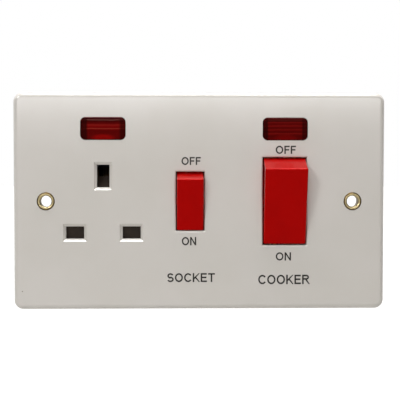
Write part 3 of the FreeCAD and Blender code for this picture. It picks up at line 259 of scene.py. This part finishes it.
def drawnGlass(name, finish):
    material, tree, place = startMaterial(name)
    wave = addNode(tree, "TexNoise", {"Scale": perMetre(finish["waveSize"]), "Detail": 1}, {"Vector": place})
    bump = addNode(tree, "Bump", {"Strength": finish["waveStrength"], "Distance": finish["waveDepth"] * mm},
                   {"Height": wave.outputs[0]})
    endMaterial(tree, {"Base Color": linear(finish["colour"]), "Roughness": finish["roughness"],
                       "IOR": finish["ior"], "Transmission Weight": finish["transmission"]},
                {"Normal": bump.outputs[0]})
    return material


# lacquered resistor: matt sand body, four code rings round it and tinned leads.
# the rings' places and width are shares of the length over the leads
resistorBody = {"colour": "#c9ae84", "ringColours": ("#4a2c16", "#b3331a", "#c9a21c", "#a9843c"),
                "ringPlaces": (0.22, 0.36, 0.5, 0.74), "ringWidth": 0.07, "leadColour": "#b9b8b3",
                "leadRadius": 0.5, "roughness": 0.5}


def lacquer(name, node, finish):
    low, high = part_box(node)
    centre = (low + high) / 2
    material, tree, place = startMaterial(name)
    local = addNode(tree, "VectorMath", {"operation": "SUBTRACT", 1: centre}, {0: place})
    axes = addNode(tree, "SeparateXYZ", links={0: local.outputs[0]})
    span = addNode(tree, "MapRange", {"From Min": low.x - centre.x, "From Max": high.x - centre.x},
                   {"Value": axes.outputs[0]})
    colour = None
    for ring, at in zip(finish["ringColours"], finish["ringPlaces"]):
        band = addNode(tree, "Math", {"operation": "COMPARE", 1: at, 2: finish["ringWidth"] / 2},
                       {0: span.outputs[0]})
        mix = addNode(tree, "Mix", {"data_type": "RGBA", 6: linear(finish["colour"]), 7: linear(ring)},
                      {0: band.outputs[0]})
        if colour:
            tree.links.new(colour, mix.inputs[6])
        colour = mix.outputs[2]
    # the leads are what lies near the resistor's own axis, along X
    flat = addNode(tree, "VectorMath", {"operation": "MULTIPLY", 1: (0, 1, 1)}, {0: local.outputs[0]})
    radius = addNode(tree, "VectorMath", {"operation": "LENGTH"}, {0: flat.outputs[0]})
    onLead = addNode(tree, "Math", {"operation": "LESS_THAN", 1: finish["leadRadius"] * mm},
                     {0: radius.outputs["Value"]})
    whole = addNode(tree, "Mix", {"data_type": "RGBA", 7: linear(finish["leadColour"])},
                    {0: onLead.outputs[0], 6: colour})
    endMaterial(tree, {"Roughness": finish["roughness"]},
                {"Base Color": whole.outputs[2], "Metallic": onLead.outputs[0]})
    return material


plateWhite = moulding("urea_plate", ureaPlate, speck=True)
baseDark = moulding("phenolic_base", phenolicBase)
rockerRed = moulding("polycarbonate_red", redRocker)
shutterBrown = moulding("nylon_brown", brownNylon)
plungerWhite = moulding("acetal_natural", acetal)
brass = bareMetal("brass_bare", brassStock)
zinc = bareMetal("steel_zinc_plated", zincPlate)
wireSteel = bareMetal("steel_spring_wire", springWire)
# the earth contact's bronze: its dark colour is partly tarnish and partly painted shade
bronze = bareMetal("bronze_tarnish_and_shade", tarnishAndShadeBronze)
glass = drawnGlass("glass_drawn", lampGlass)

# by node name, else by the name's ending, else brass
finishOf = {"front_plate": plateWhite, "shutter": shutterBrown, "socket_base": baseDark,
            "cooker_base": baseDark, "earth_contact": bronze,
            "socket_lens": tintedLens("acrylic_red_socket", "socket_lens", windowLens),
            "cooker_lens": tintedLens("acrylic_red_cooker", "cooker_lens", cookerLens),
            "socket_neon_resistor": lacquer("resistor_socket", "socket_neon_resistor", resistorBody),
            "cooker_neon_resistor": lacquer("resistor_cooker", "cooker_neon_resistor", resistorBody)}
endings = {"_rocker": rockerRed, "_plunger": plungerWhite, "_spring": wireSteel, "_screws": zinc,
           "_neon_lamp": glass}
for nodeName, part in frame["nodes"].items():
    byEnding = [finish for tail, finish in endings.items() if nodeName.endswith(tail)]
    finish = finishOf.get(nodeName) or (byEnding[0] if byEnding else brass)
    for slot in part.material_slots:
        slot.material = finish
print("materials on the CAD nodes:", len(bpy.data.materials))


def addMesh(name, corners, faces, material, flatAngle=40):
    # a mesh from whole arrays, smooth but for edges sharper than the angle, normals pointing outwards
    mesh = bpy.data.meshes.new(name)
    mesh.from_pydata(corners, [], faces)
    shell = bmesh.new()
    shell.from_mesh(mesh)
    bmesh.ops.recalc_face_normals(shell, faces=shell.faces)
    shell.to_mesh(mesh)
    shell.free()
    mesh.polygons.foreach_set("use_smooth", np.ones(len(mesh.polygons), dtype=bool))
    mesh.set_sharp_from_angle(angle=math.radians(flatAngle))
    mesh.materials.append(material)
    piece = bpy.data.objects.new(name, mesh)
    bpy.context.scene.collection.objects.link(piece)
    return piece


def gridFaces(rows, columns, rowLoop, columnLoop, first=0):
    # quads between neighbours of a grid, joined round where it loops
    row, column = np.meshgrid(np.arange(rows if rowLoop else rows - 1),
                              np.arange(columns if columnLoop else columns - 1), indexing="ij")
    below, after = (row + 1) % rows, (column + 1) % columns
    quads = np.stack([row * columns + column, row * columns + after, below * columns + after,
                      below * columns + column], -1)
    return (quads.reshape(-1, 4) + first).tolist()


# lettering: plain words for the two functions and the switch positions, printed in dark grey.
# stroke and gap are in cap heights. Each row gives the word and the box that its capitals fill on
# the plate: x from, x to, z from, z to
printWords = {"colour": "#33302d", "thinColour": "#403d39", "thinSize": 0.6, "thinSpan": (0.4, 0.75),
              "roughness": 0.5, "shine": 0.2, "ink": 0.03, "sunk": 0.02, "lap": 0.1, "laps": 4,
              "stroke": 0.175, "gap": 0.13,
              "words": (("OFF", -7.17, 0.40, 14.25, 17.38), ("ON", -7.06, -1.39, -17.34, -14.05),
                        ("OFF", 29.84, 37.85, 18.63, 21.84), ("ON", 30.02, 36.05, -23.41, -20.15),
                        ("SOCKET", -12.85, 5.99, -31.86, -28.33), ("COOKER", 23.09, 43.50, -32.79, -29.05))}


def printInk(name, finish):
    # pad-printed ink: dull dark grey, a little thin in places
    material, tree, place = startMaterial(name)
    full, thin = finish["thinSpan"]
    film = addNode(tree, "TexNoise", {"Scale": perMetre(finish["thinSize"]), "Detail": 3}, {"Vector": place})
    colour = addNode(tree, "ValToRGB", links={"Fac": film.outputs[0]},
                     stops=[(full, finish["colour"]), (thin, finish["thinColour"])])
    endMaterial(tree, {"Roughness": finish["roughness"], "Specular IOR Level": finish["shine"]},
                {"Base Color": colour.outputs[0]})
    return material


def bar(*points):
    # straight stroke through the points, in cap heights
    return np.array(points, dtype=float)


def bow(cx, cz, rx, rz, start, stop, count=28):
    # part of an oval: x = cx + rx cos t, z = cz + rz sin t, angles in degrees
    t = np.radians(np.linspace(start, stop, count))
    return np.column_stack([cx + rx * np.cos(t), cz + rz * np.sin(t)])


def letterStrokes(stroke):
    # width and centre lines of each capital, on a cap height of 1, with h half the stroke
    h, top = stroke / 2, 1 - stroke / 2
    stem = bar((h, 0), (h, 1))
    return {"O": (0.92, [bow(0.46, 0.5, 0.46 - h, 0.5 - h, 0, 360, 49)]),
            "F": (0.64, [stem, bar((0, top), (0.64, top)), bar((0, 0.5), (0.57, 0.5))]),
            "N": (0.77, [stem, bar((0.77 - h, 0), (0.77 - h, 1)), bar((h, 1), (0.77 - h, 0))]),
            "S": (0.76, [np.concatenate([bow(0.38, 0.74 - h / 2, 0.35 - h, 0.26 - h / 2, 18, 268),
                                         bow(0.38, 0.26 + h / 2, 0.38 - h, 0.26 - h / 2, 88, -160)])]),
            "C": (0.86, [bow(0.46, 0.5, 0.46 - h, 0.5 - h, 36, 324, 40)]),
            "K": (0.78, [stem, bar((h, 0.34), (0.74, 1.04)), bar((0.29, 0.57), (0.76, -0.05))]),
            "E": (0.72, [stem, bar((0, top), (0.7, top)), bar((0, 0.52), (0.66, 0.52)),
                         bar((0, h), (0.72, h))]),
            "T": (0.78, [bar((0, top), (0.78, top)), bar((0.39, 0), (0.39, 1))]),
            "R": (0.84, [stem, np.concatenate([bar((0, top)), bow(0.46, 0.735, 0.3 - h, 0.265 - h, 90, -90),
                                               bar((0, 0.47 + h))]), bar((0.42, 0.5), (0.79, -0.05))])}


def addWord(name, word, xFrom, xTo, zFrom, zTo, faceY, finish, material):
    # each stroke is a flat section (stroke wide, ink thick) carried along its centre line
    letters = letterStrokes(finish["stroke"])
    width = sum(letters[letter][0] for letter in word) + finish["gap"] * (len(word) - 1)
    corners, faces, pen, layer = [], [], 0.0, 0
    for letter in word:
        wide, strokes = letters[letter]
        for path in strokes:
            ring = np.allclose(path[0], path[-1])
            run = path[:-1] if ring else path
            along = np.roll(run, -1, 0) - np.roll(run, 1, 0) if ring else np.gradient(run, axis=0)
            side = np.column_stack([-along[:, 1], along[:, 0]]) / np.linalg.norm(along, axis=1)[:, None]
            edges = np.stack([run + side * finish["stroke"] / 2, run - side * finish["stroke"] / 2], 1)
            edges[..., 1] = np.clip(edges[..., 1], 0, 1)
            x = xFrom + (pen + edges[..., 0]) / width * (xTo - xFrom)
            z = zFrom + edges[..., 1] * (zTo - zFrom)
            # each stroke lies a little above the last, so that crossings share no face
            front = faceY - finish["ink"] * (1 + finish["lap"] * (layer % finish["laps"]))
            rear = faceY + finish["sunk"]
            around = [0, 1, 1, 0]
            depth = np.broadcast_to([front, front, rear, rear], (len(run), 4))
            section = np.stack([x[:, around], depth, z[:, around]], -1)
            first = sum(len(part) for part in corners)
            faces += gridFaces(len(run), 4, ring, True, first)
            if not ring:
                last = first + 4 * (len(run) - 1)
                faces += [[first, first + 1, first + 2, first + 3], [last, last + 1, last + 2, last + 3]]
            corners.append(section.reshape(-1, 3) * mm)
            layer += 1
        pen += wide + finish["gap"]
    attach(addMesh(name, np.concatenate(corners), faces, material), "unit")


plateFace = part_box("front_plate")[0].y / mm
inkGrey = printInk("pad_print_ink", printWords)
for i, row in enumerate(printWords["words"]):
    addWord("print_%d_%s" % (i + 1, row[0].lower()), *row, plateFace, printWords, inkGrey)
print("lettering:", len(printWords["words"]), "words")


# rolled brass eyelets: a round lip on the plate, a short tube and a wider sleeve back to the wall.
# the lip's crown is coloured pale, its inner edge olive and its outer edge brown
eyeletRing = {"bore": 2.18, "lip": 3.56, "lipRise": 0.6, "lipDepth": 0.75, "tube": 2.6, "sleeve": 3.05,
              "tubeEnd": -5.1, "spokes": 72, "lipSteps": 20,
              "crownColour": "#cdbb8e", "brownColour": "#5c461f", "oliveColour": "#5d4c25",
              "crownSpan": (0.26, 0.56), "brownFrom": 0.76, "blotchSize": 1.2, "blotchReach": 0.25,
              "roughness": (0.24, 0.42)}


def ringedBrass(name, centre, finish):
    # colour by distance from the eyelet's own axis, with a blotched edge
    material, tree, place = startMaterial(name)
    local = addNode(tree, "VectorMath", {"operation": "SUBTRACT", 1: centre}, {0: place})
    flat = addNode(tree, "VectorMath", {"operation": "MULTIPLY", 1: (1, 0, 1)}, {0: local.outputs[0]})
    radius = addNode(tree, "VectorMath", {"operation": "LENGTH"}, {0: flat.outputs[0]})
    blotch = addNode(tree, "TexNoise", {"Scale": perMetre(finish["blotchSize"]), "Detail": 3},
                     {"Vector": place})
    reach = finish["blotchReach"] * mm
    shift = addNode(tree, "Math", {"operation": "MULTIPLY_ADD", 1: reach},
                    {0: blotch.outputs[0], 2: radius.outputs["Value"]})
    span = addNode(tree, "MapRange", {"From Min": finish["bore"] * mm,
                                      "From Max": finish["lip"] * mm + reach / 2}, {"Value": shift.outputs[0]})
    crownFrom, crownTo = finish["crownSpan"]
    colour = addNode(tree, "ValToRGB", links={"Fac": span.outputs[0]},
                     stops=[(0.0, finish["oliveColour"]), (1.0, finish["brownColour"]),
                            (crownFrom, finish["crownColour"]), (crownTo, finish["crownColour"]),
                            (finish["brownFrom"], finish["brownColour"])])
    bright, dull = finish["roughness"]
    gloss = addNode(tree, "MapRange", {"To Min": bright, "To Max": dull}, {"Value": blotch.outputs[0]})
    endMaterial(tree, {"Metallic": 1.0}, {"Base Color": colour.outputs[0], "Roughness": gloss.outputs[0]})
    return material


def addEyelet(name, node, finish):
    # two closed outlines (r, y) turned about the eyelet's axis: x = cx + r cos t, z = cz + r sin t
    low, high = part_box(node)
    centre = (low + high) / 2
    front, wall = low.y / mm, high.y / mm
    bore, lip, tube, sleeve, tubeEnd = [finish[key] for key in ("bore", "lip", "tube", "sleeve", "tubeEnd")]
    # the lip is half an oval: r = middle + roll cos t, y = front + rise (1 - sin t)
    t = np.linspace(math.pi, 0, finish["lipSteps"])
    crown = np.column_stack([(lip + bore) / 2 + (lip - bore) / 2 * np.cos(t),
                             front + finish["lipRise"] * (1 - np.sin(t))])
    rear = front + finish["lipDepth"]
    shell = np.concatenate([crown, [(lip, rear), (tube, rear), (tube, tubeEnd), (bore, tubeEnd)]])
    outer = np.array([(sleeve, tubeEnd), (lip, tubeEnd), (lip, wall), (sleeve, wall)])
    turn = np.linspace(0, 2 * math.pi, finish["spokes"], endpoint=False)[None, :]
    corners, faces, first = [], [], 0
    for outline in (shell, outer):
        r, y = outline[:, :1], outline[:, 1:]
        ring = np.stack([r * np.cos(turn), y + 0 * turn, r * np.sin(turn)], -1).reshape(-1, 3) * mm
        corners.append(ring + np.array([centre.x, 0, centre.z]))
        faces += gridFaces(len(outline), finish["spokes"], True, True, first)
        first += len(ring)
    piece = addMesh(name, np.concatenate(corners), faces, ringedBrass(name + "_brass", centre, finish))
    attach(piece, "unit")
    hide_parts(node)


for side in ("left", "right"):
    addEyelet("rolled_eyelet_" + side, "eyelet_" + side, eyeletRing)
print("eyelets: 2")


# coil springs of round wire with closed ends, each laid along its joint's axis in the box of the spring that it
# replaces
coilSprings = {"wire": 0.2, "sides": 10, "perTurn": 36, "turns": 4, "shutterTurns": 6, "closedEnd": 0.12,
               "endRise": 0.05}


def addCoil(node, joint, finish):
    # a circle (angle v) carried along a helix (angle t): foot + axis s(t) + r (p cos t + q sin t)
    part = frame["nodes"][node]
    points = np.empty(3 * len(part.data.vertices))
    part.data.vertices.foreach_get("co", points)
    points = np.column_stack([points.reshape(-1, 3), np.ones(len(points) // 3)]) @ np.array(part.matrix_world).T
    axis, p = np.array(joint["axis"]) / np.linalg.norm(joint["axis"]), np.array([1.0, 0, 0])
    triad = np.stack([axis, p, np.cross(axis, p)])
    low, high = (points[:, :3] @ triad.T).min(0), (points[:, :3] @ triad.T).max(0)
    wire, sides, closed, slack = finish["wire"] * mm, finish["sides"], finish["closedEnd"], finish["endRise"]
    turns = finish["shutterTurns"] if node.startswith("shutter") else finish["turns"]
    u = np.linspace(0, 1, turns * finish["perTurn"])
    t = 2 * math.pi * turns * u
    # the coil climbs between its closed ends, which lie almost flat
    rise = (np.clip((u - closed) / (1 - 2 * closed), -slack, 1 + slack) + slack) / (1 + 2 * slack)
    outward = np.outer(np.cos(t), triad[1]) + np.outer(np.sin(t), triad[2])
    middle = ((low + high) / 2)[1:] @ triad[1:]
    line = middle + np.outer(low[0] + wire + rise * (high[0] - low[0] - 2 * wire), axis)
    line = line + ((high[1] - low[1]) / 2 - wire) * outward
    forward = np.gradient(line, axis=0)
    across = np.cross(forward / np.linalg.norm(forward, axis=1)[:, None], outward)
    v = np.linspace(0, 2 * math.pi, sides, endpoint=False)[:, None]
    tube = line[:, None] + wire * (outward[:, None] * np.cos(v) + across[:, None] * np.sin(v))
    last = len(u) * sides
    faces = gridFaces(len(u), sides, False, True) + [list(range(sides)), list(range(last - sides, last))]
    piece = addMesh("coil_" + node, tube.reshape(-1, 3), faces, wireSteel)
    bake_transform(piece)
    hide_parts(node)


springs = [(spring["node"], joint) for joint in frame["record"]["behaviour"]["joints"]
           for spring in joint.get("deforming_nodes", [])]
for node, joint in springs:
    addCoil(node, joint, coilSprings)
print("springs:", len(springs))


# studio: pale paper under the unit out to the horizon, white behind it, dim on the camera's side
studioSheet = {"colour": "#b4b3b0", "fibreSize": 40, "roughness": (0.85, 1.0), "glow": 0.74, "farGlow": 1.0,
               "fade": (250, 1400), "turn": (0, 160), "dim": 0.05, "glowColour": "#ffffff",
               "floor": -110, "reach": 6000, "firstRing": 0.001, "rings": 40, "spokes": 96}
studioRoom = {"colour": "#ffffff", "turn": (-0.2, 0.35), "dim": 0.05, "fall": 1.9, "light": 1.0}


def whiteWhereSeen(tree, along, finish):
    # white to the camera. Mirrors and glass see it too: white behind the unit, dim on the camera's side.
    # gives what is seen, and how far a direction lies behind the unit
    rays = addNode(tree, "LightPath")
    axes = addNode(tree, "SeparateXYZ", links={0: along})
    behind = addNode(tree, "MapRange", {"From Min": finish["turn"][0], "From Max": finish["turn"][1],
                                        "To Min": finish["dim"], "To Max": 1.0}, {"Value": axes.outputs[1]})
    mirrored = addNode(tree, "Math", {"operation": "MAXIMUM"},
                       {0: rays.outputs["Is Glossy Ray"], 1: rays.outputs["Is Transmission Ray"]})
    reflected = addNode(tree, "Math", {"operation": "MULTIPLY"}, {0: mirrored.outputs[0], 1: behind.outputs[0]})
    seen = addNode(tree, "Math", {"operation": "MAXIMUM"},
                   {0: rays.outputs["Is Camera Ray"], 1: reflected.outputs[0]})
    return seen.outputs[0], behind.outputs[0]


def paperSheet(name, finish):
    # seamless paper: its glow makes it read white, and its lit share still takes the unit's shadow
    material, tree, place = startMaterial(name)
    smooth, rough = finish["roughness"]
    fibre = addNode(tree, "TexNoise", {"Scale": perMetre(finish["fibreSize"]), "Detail": 2}, {"Vector": place})
    gloss = addNode(tree, "MapRange", {"To Min": smooth, "To Max": rough}, {"Value": fibre.outputs[0]})
    paper = addNode(tree, "BsdfPrincipled", {"Base Color": linear(finish["colour"]), "Specular IOR Level": 0.0},
                    {"Roughness": gloss.outputs[0]})
    # far off, where the lamps give it less, the paper glows up to white
    away = addNode(tree, "VectorMath", {"operation": "LENGTH"}, {0: place})
    level = addNode(tree, "MapRange", {"From Min": finish["fade"][0] * mm, "From Max": finish["fade"][1] * mm,
                                       "To Min": finish["glow"], "To Max": finish["farGlow"]},
                    {"Value": away.outputs["Value"]})
    inMillimetres = addNode(tree, "VectorMath", {"operation": "SCALE", "Scale": 1 / mm}, {0: place})
    seen = whiteWhereSeen(tree, inMillimetres.outputs[0], finish)[0]
    strength = addNode(tree, "Math", {"operation": "MULTIPLY"}, {0: level.outputs[0], 1: seen})
    glow = addNode(tree, "Emission", {"Color": linear(finish["glowColour"])}, {"Strength": strength.outputs[0]})
    both = addNode(tree, "AddShader", links={0: paper.outputs[0], 1: glow.outputs[0]})
    addNode(tree, "OutputMaterial", links={"Surface": both.outputs[0]})
    return material


def addSheet(name, finish):
    # a flat disc: x = r cos t, y = r sin t at the floor's height, with r growing as a square
    reach = finish["reach"] * np.linspace(finish["firstRing"], 1, finish["rings"])[:, None] ** 2
    turn = np.linspace(0, 2 * math.pi, finish["spokes"], endpoint=False)[None, :]
    flat = np.full((finish["rings"], finish["spokes"]), finish["floor"])
    grid = np.stack([reach * np.cos(turn), reach * np.sin(turn), flat], -1).reshape(-1, 3) * mm
    faces = gridFaces(finish["rings"], finish["spokes"], False, True) + [list(range(finish["spokes"]))]
    return addMesh(name, grid, faces, paperSheet("seamless_paper", finish))


addSheet("studio_sheet", studioSheet)

room = bpy.data.worlds.new("studio_room")
room.use_nodes = True
roomTree = room.node_tree
roomTree.nodes.clear()
heading = addNode(roomTree, "TexCoord").outputs["Generated"]
seen, behind = whiteWhereSeen(roomTree, heading, studioRoom)
# the room lights the unit's back and edges, and falls off steeply towards the front
fallen = addNode(roomTree, "Math", {"operation": "POWER", 1: studioRoom["fall"]}, {0: behind})
given = addNode(roomTree, "Math", {"operation": "MULTIPLY", 1: studioRoom["light"]}, {0: fallen.outputs[0]})
level = addNode(roomTree, "Math", {"operation": "MAXIMUM"}, {0: seen, 1: given.outputs[0]})
backing = addNode(roomTree, "Background", {"Color": linear(studioRoom["colour"])},
                  {"Strength": level.outputs[0]})
addNode(roomTree, "OutputWorld", links={"Surface": backing.outputs[0]})
bpy.context.scene.world = room

# soft boxes: one overhead, one at the upper left that throws the rockers' shadow,
# and a low strip in front whose shine lies along the plate's upper edge
softBoxes = {"overhead": {"at": (30, -80, 560), "size": (420, 240), "power": 3.7},
             "left": {"at": (-520, -640, 480), "size": (210, 210), "power": 2.36},
             "strip": {"at": (0, -480, 106), "size": (560, 50), "power": 0.63}}
for boxName, values in softBoxes.items():
    light = bpy.data.lights.new("softbox_" + boxName, "AREA")
    light.shape, light.energy = "RECTANGLE", values["power"]
    light.size, light.size_y = [side * mm for side in values["size"]]
    lamp = bpy.data.objects.new("softbox_" + boxName, light)
    bpy.context.scene.collection.objects.link(lamp)
    lamp.location = [v * mm for v in values["at"]]
    lamp.rotation_euler = (-lamp.location).to_track_quat("-Z", "Y").to_euler()
print("studio: sheet, room and", len(softBoxes), "soft boxes")

# camera: nearly square on, a little above and left of the middle
viewFrom = {"at": (-8.322, -358.5, 12.695), "tilt": (-0.0348, -0.0005, -0.02403), "lens": 80.23, "film": 36,
            "nearest": 10}
eye = bpy.data.cameras.new("camera")
eye.lens, eye.sensor_width = viewFrom["lens"], viewFrom["film"]
eye.clip_start = viewFrom["nearest"] * mm
camera = bpy.data.objects.new("camera", eye)
bpy.context.scene.collection.objects.link(camera)
camera.location = [v * mm for v in viewFrom["at"]]
pitch, roll, yaw = viewFrom["tilt"]
camera.rotation_euler = (math.pi / 2 + pitch, roll, yaw)
bpy.context.scene.camera = camera
bpy.context.scene.view_settings.view_transform = "Standard"
